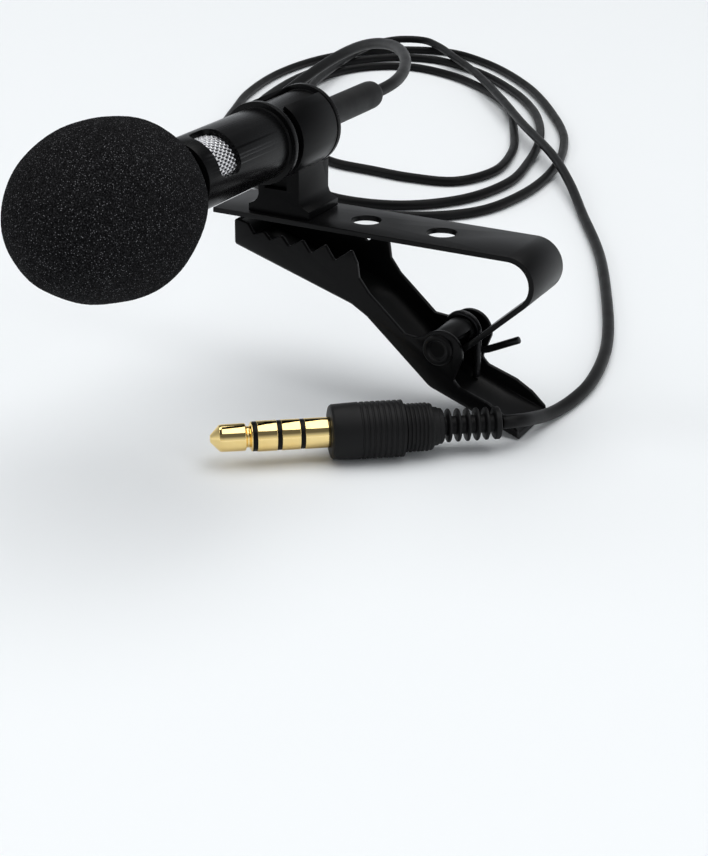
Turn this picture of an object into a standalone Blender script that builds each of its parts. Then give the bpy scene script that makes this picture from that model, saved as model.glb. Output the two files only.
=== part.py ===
"""Lavalier microphone on a sprung tie clip, with its cable and four-pole 3.5 mm plug.

World frame: +Z is up from the surface that it stands on, +Y runs along the microphone from the
windscreen to the cable, and +X runs along the clip's plate from its front tip to its U-bend.
The clip's own measures are from the plate's front tip (x), its near edge (y) and its top face (z).
"""

import math

import bmesh
import bpy
from mathutils import Vector

MM = 0.001

# Where the plate's front tip, near edge and top face lie in the world, in mm.
PLATE_ORIGIN = (-20.6, 10.45, 22.05)

# Clearances, mm
FIT_GAP = 0.1
STACK_GAP = 0.03
CORD_GAP = 0.3

# Bent steel strip, mm
STRIP_WIDTH = 9.2
STRIP_THICKNESS = 0.65
BEND_CENTRE_X = 38.5
BEND_RADIUS = 3.075
HOLE_RADIUS = 1.8
HOLE_X = 8.7
HOLE_PITCH = 9.85
HOLE_COUNT = 3
EYE_NEAR_Y = 0.95
EYE_FAR_Y = 6.2
EYE_SHOULDER_X = 34.3

# Pivot, mm
PIVOT_X = 30.5
PIVOT_Z = -12.7
PIN_RADIUS = 1.3
PIN_HEAD_RADIUS = 1.9
PIN_HEAD_THICKNESS = 0.4
PIN_RECESS_RADIUS = 1.2
PIN_RECESS_DEPTH = 0.3
EYE_END_ANGLE = 32

# Toothed jaw channel, mm
SHEET = 0.6
JAW_FRONT_X = 3.05
JAW_FRONT_TOP = -0.95
JAW_SOLE = [(3.05, -4.3), (18.85, -9.2), (20.9, -10.4), (29.35, -17.7), (34.5, -19.55), (41.05, -22.05)]
LEVER_TOP = [(32.5, -16.2), (33.3, -17.0), (37.0, -18.2), (39.1, -19.4), (40.85, -20.95)]
FIRST_VALLEY_X = 5.7
TOOTH_PITCH = 2.2
TOOTH_GROWTH = 0.35
TOOTH_COUNT = 5
TOOTH_TIP = 0.62
EAR_X = 30.8
EAR_Z = -13.1
EAR_RADIUS = 2.75

# Torsion spring, mm
WIRE_RADIUS = 0.45
COIL_RADIUS = 2.15
COIL_START_Y = 6.75
COIL_END_Y = 7.85
COIL_END_ANGLE = 270
JAW_ARM_DEPTH = 5.2
LEG_ARM = [(33.2, -14.9), (37.4, -12.8)]

# Microphone, mm: its axis is over the plate's first hole
MIC_Z = 9.8
BARREL_RADIUS = 4.2
BARREL_BORE = 3.6
LIP_RADIUS = 4.85
BARREL_FRONT_Y = -21.2
NECK_RADIUS = 3.5
NECK_BORE = 2.9
NECK_FRONT_Y = -32.0
NECK_REAR_Y = -20.5
FRONT_LIP_Y = -3.7
LIP_WIDTH = 0.7
REAR_LIP_Y = 6.75
BARREL_REAR_Y = 7.5
WINDOW_FRONT_Y = -18.9
WINDOW_REAR_Y = -14.5
WINDOW_SPAN = 95
SLEEVE_RADIUS = 1.78
SLEEVE_REAR_Y = 25.5
WINDSCREEN_Y = -34.1
WINDSCREEN_RADIUS = 9.4
WINDSCREEN_HALF_LENGTH = 12.3

# Holder, mm
RING_RADIUS = 4.8
RING_FRONT_Y = -1.7
RING_REAR_Y = 6.5
RING_OPENING = 56
PEDESTAL_HALF = 2.75
PEDESTAL_FRONT_Y = 0.8
PEDESTAL_REAR_Y = 8.2
FOOT_HALF = 4.1
FOOT_EDGE = 1.0
FLARE_TOP = 2.3

# Plug, mm: distances along its axis from the tip
PLUG_TIP_X = 13.3
PLUG_TIP_Y = -23.0
PLUG_TURN = 36.9
PLUG_RADIUS = 1.75
CORE_RADIUS = 0.9
PLUG_METAL = 13.5
INSULATOR_STARTS = (4.75, 7.5, 10.12)
INSULATOR_WIDTH = 0.48
BOOT_RADIUS = 3.25
FIN_COUNT = 6
FIN_PITCH = 1.1
FIN_WIDTH = 0.5
LAST_FIN_WIDTH = 0.8

# Cable, mm
CABLE_RADIUS = 0.8
CABLE_POINTS = 110
# The route's own points, from the sleeve to the plug's boot, in plate measures
CABLE_ROUTE = [
    (8.7, 25.8, 9.8),
    (8.7, 28.6, 9.8),
    (8.25, 32.6, 9.8),
    (7.0, 37.4, 9.75),
    (4.9, 42.8, 9.65),
    (2.0, 48.8, 9.4),
    (-1.6, 54.8, 9.0),
    (-5.9, 60.4, 8.3),
    (-10.7, 65.2, 7.2),
    (-15.6, 69.0, 5.5),
    (-21.0, 72.0, 2.8),
    (-26.8, 74.2, -0.9),
    (-32.9, 75.8, -5.3),
    (-39.0, 77.0, -10.0),
    (-45.0, 78.8, -14.4),
    (-50.6, 82.5, -18.1),
    (-55.4, 88.8, -20.4),
    (-59.4, 97.0, -21.25),
    (-63.2, 106.0, -21.25),
    (-68.0, 118.5, -21.25),
    (-73.0, 132.5, -21.25),
    (-76.6, 152.0, -21.25),
    (-75.6, 169.0, -21.25),
    (-71.2, 179.5, -21.25),
    (-64.0, 187.0, -21.25),
    (-54.0, 189.8, -21.25),
    (-42.0, 183.5, -21.25),
    (-26.0, 167.5, -21.25),
    (-13.0, 148.5, -21.25),
    (-3.2, 130.0, -21.25),
    (2.8, 109.0, -21.25),
    (3.8, 91.0, -21.25),
    (1.0, 79.0, -21.25),
    (-6.0, 72.0, -21.25),
    (-17.0, 69.0, -21.25),
    (-30.0, 71.0, -21.25),
    (-42.0, 79.0, -21.25),
    (-52.0, 92.0, -21.25),
    (-60.0, 108.0, -21.25),
    (-65.5, 122.0, -21.25),
    (-69.0, 136.0, -21.25),
    (-71.0, 152.0, -21.25),
    (-69.5, 167.0, -21.25),
    (-63.5, 177.5, -21.25),
    (-54.0, 181.0, -21.25),
    (-41.0, 175.0, -21.25),
    (-27.0, 162.0, -21.25),
    (-16.0, 147.0, -21.25),
    (-8.0, 130.0, -21.25),
    (-3.0, 112.0, -21.25),
    (-1.0, 97.0, -21.25),
    (-4.0, 84.0, -21.25),
    (-11.5, 76.0, -21.25),
    (-22.0, 74.5, -21.25),
    (-33.0, 80.0, -21.25),
    (-44.0, 91.0, -21.25),
    (-53.0, 106.0, -21.25),
    (-60.0, 122.0, -21.25),
    (-64.8, 140.0, -21.25),
    (-66.6, 156.5, -21.25),
    (-62.8, 167.0, -21.25),
    (-55.2, 171.6, -21.25),
    (-44.5, 168.8, -21.25),
    (-33.0, 160.5, -21.25),
    (-22.4, 148.5, -21.25),
    (-14.2, 132.0, -21.25),
    (-8.0, 116.0, -21.25),
    (-6.0, 102.0, -21.25),
    (-9.5, 93.5, -21.25),
    (-17.0, 92.0, -21.25),
    (-25.0, 92.8, -21.25),
    (-33.0, 94.0, -21.25),
    (-41.5, 100.0, -21.25),
    (-49.0, 110.0, -21.25),
    (-54.6, 121.0, -20.8),
    (-58.6, 131.0, -19.9),
    (-61.8, 140.0, -19.4),
    (-65.4, 155.5, -19.4),
    (-68.2, 172.0, -19.4),
    (-68.4, 182.5, -19.4),
    (-65.8, 189.0, -19.4),
    (-61.0, 190.6, -19.4),
    (-55.6, 186.8, -19.4),
    (-47.0, 177.3, -19.4),
    (-37.0, 165.7, -19.4),
    (-23.5, 147.3, -19.4),
    (-12.0, 130.5, -19.4),
    (2.0, 111.0, -19.4),
    (9.5, 99.3, -20.2),
    (17.2, 85.5, -21.25),
    (26.4, 67.8, -21.25),
    (34.2, 49.3, -21.25),
    (38.6, 37.6, -21.25),
    (40.8, 30.4, -21.25),
    (42.3, 23.4, -21.25),
    (43.0, 17.4, -21.25),
    (42.9, 12.6, -21.25),
    (42.5, 8.6, -21.1),
    (42.1, 5.0, -20.55),
    (41.9, 2.0, -19.75),
    (41.7, -0.3, -19.1),
    (41.1, -1.8, -18.8),
    (40.2, -2.79, -18.75),
]


def clear_scene():
    for obj in list(bpy.data.objects):
        bpy.data.objects.remove(obj, do_unlink=True)


def collection(name):
    found = bpy.data.collections.new(name)
    bpy.context.scene.collection.children.link(found)
    return found


clear_scene()
PARTS = collection("lavalier_microphone")
CUTTERS = collection("cutters")
CUTTERS.hide_render = True


def at(x, y, z):
    """World place, in metres, of a point given in plate measures."""
    return Vector((PLATE_ORIGIN[0] + x, PLATE_ORIGIN[1] + y, PLATE_ORIGIN[2] + z)) * MM


def material(name, colour, roughness, metallic=0.0):
    found = bpy.data.materials.new(name)
    found.use_nodes = True
    shader = found.node_tree.nodes["Principled BSDF"]
    shader.inputs["Base Color"].default_value = (*colour, 1.0)
    shader.inputs["Roughness"].default_value = roughness
    shader.inputs["Metallic"].default_value = metallic
    return found


FOAM = material("foam", (0.02, 0.02, 0.022), 0.95)
BLACK_METAL = material("black_metal", (0.018, 0.018, 0.02), 0.32, 0.6)
BLACK_PAINT = material("black_paint", (0.015, 0.015, 0.017), 0.38, 0.4)
BLACK_PLASTIC = material("black_plastic", (0.016, 0.016, 0.018), 0.35)
BLACK_RUBBER = material("black_rubber", (0.012, 0.012, 0.013), 0.6)
STEEL = material("steel", (0.6, 0.6, 0.61), 0.3, 1.0)
GOLD = material("gold", (0.85, 0.55, 0.2), 0.18, 1.0)
BOARD_GREEN = material("board", (0.02, 0.12, 0.05), 0.5)
FELT = material("felt", (0.03, 0.03, 0.03), 1.0)


def empty(name, place, rotation=(0, 0, 0)):
    found = bpy.data.objects.new(name, None)
    found.location = place
    found.rotation_euler = rotation
    found.empty_display_size = 0.003
    PARTS.objects.link(found)
    return found


HALF_TURN = math.pi / 2
# Each empty's own +Z runs along its axis.
mic_axis = empty("mic_axis", at(HOLE_X, 0, MIC_Z), (-HALF_TURN, 0, 0))
jaw_pivot = empty("jaw_pivot", at(PIVOT_X, 0, PIVOT_Z), (-HALF_TURN, 0, 0))
plug_axis = empty(
    "plug_axis",
    at(PLUG_TIP_X, PLUG_TIP_Y, BOOT_RADIUS + JAW_SOLE[-1][1] + 0.02),
    (0, HALF_TURN, math.radians(PLUG_TURN)),
)


def add(name, mesh, look, holder, place=PARTS):
    obj = bpy.data.objects.new(name, mesh)
    place.objects.link(obj)
    obj.parent = holder
    if look:
        mesh.materials.append(look)
    return obj


def hide_cutter(cutter):
    cutter.hide_render = True
    cutter.display_type = "WIRE"
    return cutter


def cut(obj, cutter, operation="DIFFERENCE"):
    modifier = obj.modifiers.new(cutter.name, "BOOLEAN")
    modifier.operation = operation
    modifier.object = hide_cutter(cutter)


def turned(name, profile, look, holder, steps=32, place=PARTS):
    """A profile of (radius, distance along the axis) in mm, turned round the holder's axis.

    It runs down the outer side, from the far end to the near end. It starts and ends on the axis,
    or it is closed round a bore.
    """
    solid = profile[0][0] == 0
    mesh = bpy.data.meshes.new(name)
    count = len(profile)
    edges = [(i, (i + 1) % count) for i in range(count - 1 if solid else count)]
    mesh.from_pydata([(r * MM, 0, z * MM) for r, z in profile], edges, [])
    obj = add(name, mesh, look, holder, place)
    screw = obj.modifiers.new("turn", "SCREW")
    screw.axis = "Z"
    screw.steps = steps
    screw.render_steps = steps
    screw.use_merge_vertices = True
    screw.merge_threshold = 0.000001
    screw.use_smooth_shade = True
    return obj


def tube(name, outer, inner, near, far, look, holder, steps=32):
    return turned(name, [(outer, far), (outer, near), (inner, near), (inner, far)], look, holder, steps)


def rod(name, radius, near, far, look, holder, steps=32, place=PARTS):
    profile = [(0, far), (radius, far), (radius, near), (0, near)]
    return turned(name, profile, look, holder, steps, place)


def mesh_of(curve_obj):
    """The curve's evaluated mesh with its caps welded; the curve itself is removed."""
    bpy.context.view_layer.update()
    graph = bpy.context.evaluated_depsgraph_get()
    mesh = bpy.data.meshes.new_from_object(curve_obj.evaluated_get(graph))
    bpy.data.objects.remove(curve_obj, do_unlink=True)
    work = bmesh.new()
    work.from_mesh(mesh)
    bmesh.ops.remove_doubles(work, verts=work.verts, dist=0.000002)
    work.to_mesh(mesh)
    work.free()
    return mesh


def curve_object(name, points, cyclic=False, flat=True):
    data = bpy.data.curves.new(name, "CURVE")
    data.dimensions = "2D" if flat else "3D"
    spline = data.splines.new("POLY")
    spline.points.add(len(points) - 1)
    for point, co in zip(spline.points, points):
        point.co = (*co, 0.0, 1.0) if flat else (*co, 1.0)
    spline.use_cyclic_u = cyclic
    obj = bpy.data.objects.new(name, data)
    PARTS.objects.link(obj)
    return obj


def side_plate(name, outline, near, far, look=None, place=PARTS):
    """A flat outline of (x, z) in plate measures, as thick as the stretch of y from near to far."""
    guide = curve_object(name, [(x * MM, z * MM) for x, z in outline], cyclic=True)
    guide.data.fill_mode = "BOTH"
    guide.data.extrude = (far - near) / 2 * MM
    obj = add(name, mesh_of(guide), look, None, place)
    obj.location = at(0, (near + far) / 2, 0)
    obj.rotation_euler = (HALF_TURN, 0, 0)
    return obj


def box(name, low, high, look=None, place=CUTTERS):
    """A box between two corners given in plate measures."""
    work = bmesh.new()
    bmesh.ops.create_cube(work, size=1.0)
    mesh = bpy.data.meshes.new(name)
    work.to_mesh(mesh)
    work.free()
    obj = add(name, mesh, look, None, place)
    obj.location = (at(*low) + at(*high)) / 2
    obj.scale = at(*high) - at(*low)
    return obj


def arc(centre, radius, start, end, count):
    """Points along an arc, in degrees."""
    angles = [math.radians(start + (end - start) * i / count) for i in range(count + 1)]
    return [(centre[0] + radius * math.cos(a), centre[1] + radius * math.sin(a)) for a in angles]


def strip_centreline():
    """The plate, the U-bend, the return leg and the eye round the pin, in (x, z)."""
    bend = (BEND_CENTRE_X, -STRIP_THICKNESS / 2 - BEND_RADIUS)
    eye = (PIVOT_X, PIVOT_Z)
    eye_radius = PIN_RADIUS + FIT_GAP + STRIP_THICKNESS / 2
    across = (eye[0] - bend[0], eye[1] - bend[1])
    # The leg is the straight tangent that leaves the bend and meets the eye on their outer sides.
    heading = math.degrees(
        math.atan2(across[1], across[0]) - math.asin((BEND_RADIUS - eye_radius) / math.hypot(*across))
    )
    leg_angle = heading + 90
    points = [(0.0, -STRIP_THICKNESS / 2)]
    points += arc(bend, BEND_RADIUS, 90, leg_angle, 16)
    points += arc(eye, eye_radius, leg_angle, EYE_END_ANGLE - 360, 22)
    return points


def make_strip():
    line = [(x * MM, z * MM) for x, z in strip_centreline()]
    guide = curve_object("clip_strip", line)
    guide.data.fill_mode = "NONE"
    guide.data.extrude = STRIP_WIDTH / 2 * MM
    strip = add("clip_strip", mesh_of(guide), BLACK_PAINT, None)
    strip.location = at(0, STRIP_WIDTH / 2, 0)
    strip.rotation_euler = (HALF_TURN, 0, 0)
    shell = strip.modifiers.new("sheet", "SOLIDIFY")
    shell.thickness = STRIP_THICKNESS * MM
    shell.offset = 0
    shell.use_even_offset = True
    for index in range(HOLE_COUNT):
        x = HOLE_X + index * HOLE_PITCH
        axis = empty(f"hole_axis_{index + 1}", at(x, STRIP_WIDTH / 2, 0))
        cut(strip, rod(f"hole_{index + 1}", HOLE_RADIUS, -2, 2, None, axis, 24, CUTTERS))
    top = PIVOT_Z + 3.2
    low = PIVOT_Z - 3.2
    cut(strip, box("near_notch", (PIVOT_X - 3, -1, low), (EYE_SHOULDER_X, EYE_NEAR_Y, top)))
    cut(strip, box("far_notch", (PIVOT_X - 3, EYE_FAR_Y, low), (EYE_SHOULDER_X, STRIP_WIDTH + 1, top)))
    return strip


def jaw_outline():
    """The jaw's side seen across the clip: sole, lever end, lever top, ear, wall and teeth."""
    outline = list(JAW_SOLE)
    outline += reversed(LEVER_TOP)
    outline += arc((EAR_X, EAR_Z), EAR_RADIUS, -5, 135, 10)
    outline += [(27.6, -11.75), (26.0, -11.6), (21.2, -7.4), (19.9, -5.7), (19.65, -4.0)]
    valley = FIRST_VALLEY_X
    teeth = []
    for index in range(TOOTH_COUNT):
        pitch = TOOTH_PITCH + index * TOOTH_GROWTH
        teeth.append((valley, -2.6 - 0.38 * index))
        teeth.append((valley + TOOTH_TIP * pitch, -2.1 - 0.08 * index))
        valley += pitch
    outline += reversed(teeth)
    outline += [(FIRST_VALLEY_X - 0.9, -1.35), (JAW_FRONT_X, JAW_FRONT_TOP)]
    return outline


def channel_outline():
    """The channel's inside: above the sole by one sheet, and open at the top."""
    front = JAW_FRONT_X + SHEET
    sole = []
    for (x0, z0), (x1, z1) in zip(JAW_SOLE, JAW_SOLE[1:]):
        slope = (z1 - z0) / (x1 - x0)
        lift = SHEET * math.hypot(1, slope)
        sole.append((slope, z0 + lift - slope * x0))
    points = [(front, sole[0][0] * front + sole[0][1])]
    for (m0, c0), (m1, c1) in zip(sole, sole[1:]):
        x = (c1 - c0) / (m0 - m1)
        points.append((x, m0 * x + c0))
    end = JAW_SOLE[-1][0] + 1
    points += [(end, sole[-1][0] * end + sole[-1][1]), (end, 1), (front, 1)]
    return points


def make_jaw():
    jaw = side_plate("clip_jaw", jaw_outline(), 0, STRIP_WIDTH, BLACK_PAINT)
    inside = side_plate("channel", channel_outline(), SHEET, STRIP_WIDTH - SHEET, None, CUTTERS)
    cut(jaw, inside)
    reach = STRIP_WIDTH + 1
    cut(jaw, rod("ear_holes", PIN_RADIUS + STACK_GAP, -1, reach, None, jaw_pivot, 32, CUTTERS))
    return jaw


def make_pin():
    near = -STACK_GAP
    far = STRIP_WIDTH + STACK_GAP
    head_near = near - PIN_HEAD_THICKNESS
    head_far = far + PIN_HEAD_THICKNESS
    profile = [
        (0, head_far - PIN_RECESS_DEPTH),
        (PIN_RECESS_RADIUS - 0.15, head_far - PIN_RECESS_DEPTH),
        (PIN_RECESS_RADIUS, head_far - 0.05),
        (PIN_RECESS_RADIUS + 0.2, head_far),
        (PIN_HEAD_RADIUS - 0.15, head_far),
        (PIN_HEAD_RADIUS, head_far - 0.15),
        (PIN_HEAD_RADIUS, far),
        (PIN_RADIUS, far),
        (PIN_RADIUS, near),
        (PIN_HEAD_RADIUS, near),
        (PIN_HEAD_RADIUS, head_near + 0.15),
        (PIN_HEAD_RADIUS - 0.15, head_near),
        (PIN_RECESS_RADIUS + 0.2, head_near),
        (PIN_RECESS_RADIUS, head_near + 0.05),
        (PIN_RECESS_RADIUS - 0.15, head_near + PIN_RECESS_DEPTH),
        (0, head_near + PIN_RECESS_DEPTH),
    ]
    return turned("pivot_pin", profile, BLACK_METAL, jaw_pivot, 32)


def wire(name, points, radius, look):
    obj = curve_object(name, points, flat=False)
    obj.data.bevel_depth = radius * MM
    obj.data.bevel_resolution = 2
    obj.data.use_fill_caps = True
    obj.data.materials.append(look)
    return obj


def make_spring():
    """One coil beside the eye: one arm stands on the lever's floor, the other lies under the leg."""
    points = [(PIVOT_X + COIL_RADIUS, COIL_START_Y, PIVOT_Z - JAW_ARM_DEPTH)]
    count = 30
    for index in range(count + 1):
        part = index / count
        angle = math.radians(COIL_END_ANGLE * part)
        x = PIVOT_X + COIL_RADIUS * math.cos(angle)
        z = PIVOT_Z + COIL_RADIUS * math.sin(angle)
        points.append((x, COIL_START_Y + (COIL_END_Y - COIL_START_Y) * part, z))
    points += [(x, COIL_END_Y, z) for x, z in LEG_ARM]
    return wire("torsion_spring", [at(*p) for p in points], WIRE_RADIUS, STEEL)


def make_holder():
    """Pedestal with a front recess, its flared foot on the plate, and the C-ring on top."""
    centre = (HOLE_X, MIC_Z)
    bore = BARREL_RADIUS + FIT_GAP
    seat = (bore + RING_RADIUS) / 2
    spread = math.degrees(math.asin(PEDESTAL_HALF / seat))
    flare = [(FOOT_HALF, 0.05), (FOOT_HALF, FOOT_EDGE), (3.35, 1.35), (2.95, 1.75), (PEDESTAL_HALF, FLARE_TOP)]
    outline = [(HOLE_X + x, z) for x, z in flare]
    outline += arc(centre, seat, -90 + spread, -90 - spread, 6)
    outline += [(HOLE_X - x, z) for x, z in reversed(flare)]
    holder = side_plate("holder", outline, PEDESTAL_FRONT_Y, PEDESTAL_REAR_Y, BLACK_PLASTIC)
    recess_front = (HOLE_X - 1.9, PEDESTAL_FRONT_Y - 1, 3.2)
    cut(holder, box("recess", recess_front, (HOLE_X + 1.1, PEDESTAL_FRONT_Y + 1.3, 4.9)))
    first = 90 - RING_OPENING / 2
    last = 90 + RING_OPENING / 2 - 360
    ring = arc(centre, RING_RADIUS, first, last, 40) + arc(centre, bore, last, first, 40)
    cut(holder, side_plate("ring", ring, RING_FRONT_Y, RING_REAR_Y, None, CUTTERS), "UNION")
    lip_room = rod("lip_room", LIP_RADIUS + FIT_GAP, RING_REAR_Y + 0.12, 9, None, mic_axis, 48, CUTTERS)
    cut(holder, lip_room)
    return holder


def make_rivet():
    """Fixes the holder through the plate's first hole, with its head under the plate."""
    axis = empty("rivet_axis", at(HOLE_X, STRIP_WIDTH / 2, 0))
    head_top = -STRIP_THICKNESS - STACK_GAP
    profile = [(0, 0), (1.7, 0), (1.7, head_top), (2.4, head_top), (2.4, head_top - 0.3)]
    profile += [(2.1, head_top - 0.5), (0, head_top - 0.5)]
    return turned("holder_rivet", profile, BLACK_METAL, axis, 24)


def make_barrel():
    profile = [
        (LIP_RADIUS - 0.1, BARREL_REAR_Y),
        (LIP_RADIUS, BARREL_REAR_Y - 0.1),
        (LIP_RADIUS, REAR_LIP_Y),
        (BARREL_RADIUS, REAR_LIP_Y),
        (BARREL_RADIUS, FRONT_LIP_Y + LIP_WIDTH),
        (LIP_RADIUS, FRONT_LIP_Y + LIP_WIDTH),
        (LIP_RADIUS, FRONT_LIP_Y),
        (BARREL_RADIUS, FRONT_LIP_Y),
        (BARREL_RADIUS, BARREL_FRONT_Y),
        (BARREL_BORE, BARREL_FRONT_Y),
        (BARREL_BORE, BARREL_REAR_Y),
    ]
    barrel = turned("mic_barrel", profile, BLACK_METAL, mic_axis, 48)
    for index, start in enumerate((0, 180)):
        outline = [(HOLE_X, MIC_Z)] + arc((HOLE_X, MIC_Z), 6, start, start + WINDOW_SPAN, 12)
        cut(barrel, side_plate(f"window_{index + 1}", outline, WINDOW_FRONT_Y, WINDOW_REAR_Y, None, CUTTERS))
    return barrel


def make_mic_inside():
    """Neck that the windscreen fits on, with the capsule, its seat and felt, and the mesh tube."""
    tube("front_neck", NECK_RADIUS, NECK_BORE, NECK_FRONT_Y, NECK_REAR_Y, BLACK_METAL, mic_axis, 40)
    tube("grille_mesh", 3.5, 3.3, WINDOW_FRONT_Y - 1.2, WINDOW_REAR_Y + 1.2, STEEL, mic_axis)
    tube("capsule_seat", 2.85, 2.45, -31.4, -28.2, BLACK_RUBBER, mic_axis)
    rod("electret_capsule", 2.4, -31.2, -28.7, STEEL, mic_axis)
    rod("capsule_board", 2.35, -28.6, -28.1, BOARD_GREEN, mic_axis)
    rod("front_felt", 2.8, -31.9, -31.5, FELT, mic_axis)
    front = NECK_FRONT_Y
    cap = [(0, front - STACK_GAP), (NECK_RADIUS, front - STACK_GAP), (NECK_RADIUS, front - 0.7)]
    cap += [(NECK_RADIUS - 0.5, front - 1.2), (0, front - 1.2)]
    turned("front_cap", cap, BLACK_METAL, mic_axis)


def make_rear_cap():
    rear = BARREL_REAR_Y
    bore = SLEEVE_RADIUS + FIT_GAP
    profile = [(2.6, rear + 0.9), (3.4, rear + 0.75), (4.3, rear + STACK_GAP), (3.5, rear + STACK_GAP)]
    profile += [(3.5, rear - 1.2), (bore, rear - 1.2), (bore, rear + 0.9)]
    turned("rear_cap", profile, BLACK_METAL, mic_axis)


def make_sleeve():
    """Rubber strain relief: a collar inside the rear cap and a long sleeve with a rounded end."""
    collar = BARREL_REAR_Y - 1.2 - STACK_GAP
    end = SLEEVE_REAR_Y
    profile = [(0, end), (1.1, end), (1.5, end - 0.25), (1.72, end - 0.75), (SLEEVE_RADIUS, end - 1.5)]
    profile += [(SLEEVE_RADIUS, collar), (2.3, collar), (2.3, collar - 1.1), (0, collar - 1.1)]
    turned("cable_sleeve", profile, BLACK_RUBBER, mic_axis)


def make_windscreen():
    """Foam ball, longer than it is wide, with a blind bore that fits over the neck."""
    bore = NECK_RADIUS + FIT_GAP
    mouth = math.degrees(math.asin((bore + 0.5) / WINDSCREEN_RADIUS))
    stretch = WINDSCREEN_HALF_LENGTH / WINDSCREEN_RADIUS
    ball = arc((0, 0), WINDSCREEN_RADIUS, 90 - mouth, -90, 18)
    ball = [(radius, WINDSCREEN_Y + along * stretch) for radius, along in ball]
    ball[-1] = (0, ball[-1][1])
    floor = NECK_FRONT_Y - 1.7
    inside = [(0, floor), (bore, floor), (bore, ball[0][1] - 0.4)]
    turned("windscreen", [*inside, *ball], FOAM, mic_axis, 36)


def make_plug():
    """Tip, three insulating rings, two ring contacts, sleeve contact and the insulating core."""
    inner = CORE_RADIUS + STACK_GAP
    first = INSULATOR_STARTS[0]
    tip = [(0, first), (1.7, first), (1.7, first - 0.15), (1.2, first - 0.35), (1.2, first - 0.62)]
    tip += [(1.57, first - 0.85), (1.55, 1.05), (0.45, 0), (0, 0)]
    turned("plug_tip", tip, GOLD, plug_axis)
    rod("plug_core", CORE_RADIUS, first + STACK_GAP, PLUG_METAL - STACK_GAP, BLACK_PLASTIC, plug_axis, 20)
    starts = []
    for start in INSULATOR_STARTS:
        starts += [start, start + INSULATOR_WIDTH]
    starts.append(PLUG_METAL)
    names = ["plug_insulator_1", "plug_ring_1", "plug_insulator_2", "plug_ring_2"]
    names += ["plug_insulator_3", "plug_sleeve"]
    for index, name in enumerate(names):
        metal = not name.startswith("plug_insulator")
        outer = PLUG_RADIUS if metal else PLUG_RADIUS - 0.05
        near = starts[index] + STACK_GAP
        far = starts[index + 1] - STACK_GAP * (name == "plug_sleeve")
        tube(name, outer, inner, near, far, GOLD if metal else BLACK_PLASTIC, plug_axis)


def make_boot():
    """Moulded boot in two ribbed steps, a collar and a finned strain relief."""
    front = PLUG_METAL
    shoulders = [(2.9, front), (3.1, front + 0.3), (BOOT_RADIUS, front + 3.3), (BOOT_RADIUS, front + 8.35)]
    shoulders += [(2.78, front + 8.35), (2.68, front + 11.75), (2.2, front + 11.75), (2.1, front + 13.0)]
    fins = []
    for index in range(FIN_COUNT):
        start = front + 13.43 + index * FIN_PITCH
        end = start + (LAST_FIN_WIDTH if index == FIN_COUNT - 1 else FIN_WIDTH)
        radius = 1.94 - 0.01 * index
        fins += [(1.05, start), (radius, start), (radius, end), (1.05, end)]
    profile = [(0, front), *shoulders, *fins, (0, fins[-1][1])]
    turned("plug_boot", profile[::-1], BLACK_RUBBER, plug_axis)


def smooth_route(points, count):
    """Points on a centripetal Catmull-Rom curve, closer together where the route bends most."""
    knots = [Vector(p) for p in points]
    knots = [2 * knots[0] - knots[1], *knots, 2 * knots[-1] - knots[-2]]
    lowest = min(knot.z for knot in knots)
    dense = []
    for a, b, c, d in zip(knots, knots[1:], knots[2:], knots[3:]):
        t1 = (b - a).length ** 0.5
        t2 = t1 + (c - b).length ** 0.5
        t3 = t2 + (d - c).length ** 0.5
        for step in range(12):
            t = t1 + (t2 - t1) * step / 12
            ab = a.lerp(b, t / t1)
            bc = b.lerp(c, (t - t1) / (t2 - t1))
            cd = c.lerp(d, (t - t2) / (t3 - t2))
            abc = ab.lerp(bc, t / t2)
            bcd = bc.lerp(cd, (t - t1) / (t3 - t1))
            point = abc.lerp(bcd, (t - t1) / (t2 - t1))
            point.z = max(point.z, lowest)
            dense.append(point)
    dense.append(knots[-2])
    weights = [0.0]
    for index in range(1, len(dense)):
        step = dense[index] - dense[index - 1]
        turn = step.angle(dense[index + 1] - dense[index]) if index + 1 < len(dense) else 0
        weights.append(weights[-1] + step.length + 12 * turn)
    chosen = []
    at_index = 0
    for number in range(count):
        target = weights[-1] * number / (count - 1)
        while weights[at_index] < target - 1e-9:
            at_index += 1
        chosen.append(dense[at_index])
    return chosen


def make_cable():
    points = smooth_route(CABLE_ROUTE, CABLE_POINTS)
    return wire("cable", [at(*p) for p in points], CABLE_RADIUS, BLACK_RUBBER)


make_strip()
make_jaw()
make_pin()
make_spring()
make_holder()
make_rivet()
make_barrel()
make_mic_inside()
make_rear_cap()
make_sleeve()
make_windscreen()
make_plug()
make_boot()
make_cable()
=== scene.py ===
"""The looks of the lavalier microphone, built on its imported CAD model.

A place given in plate measures is in mm: x from the plate's front tip, y from its near edge and z
from its top face. Everything else is in metres, in the CAD's own frame.
"""

import math

import bmesh
import bpy
from mathutils import Matrix, Vector, noise


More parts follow.
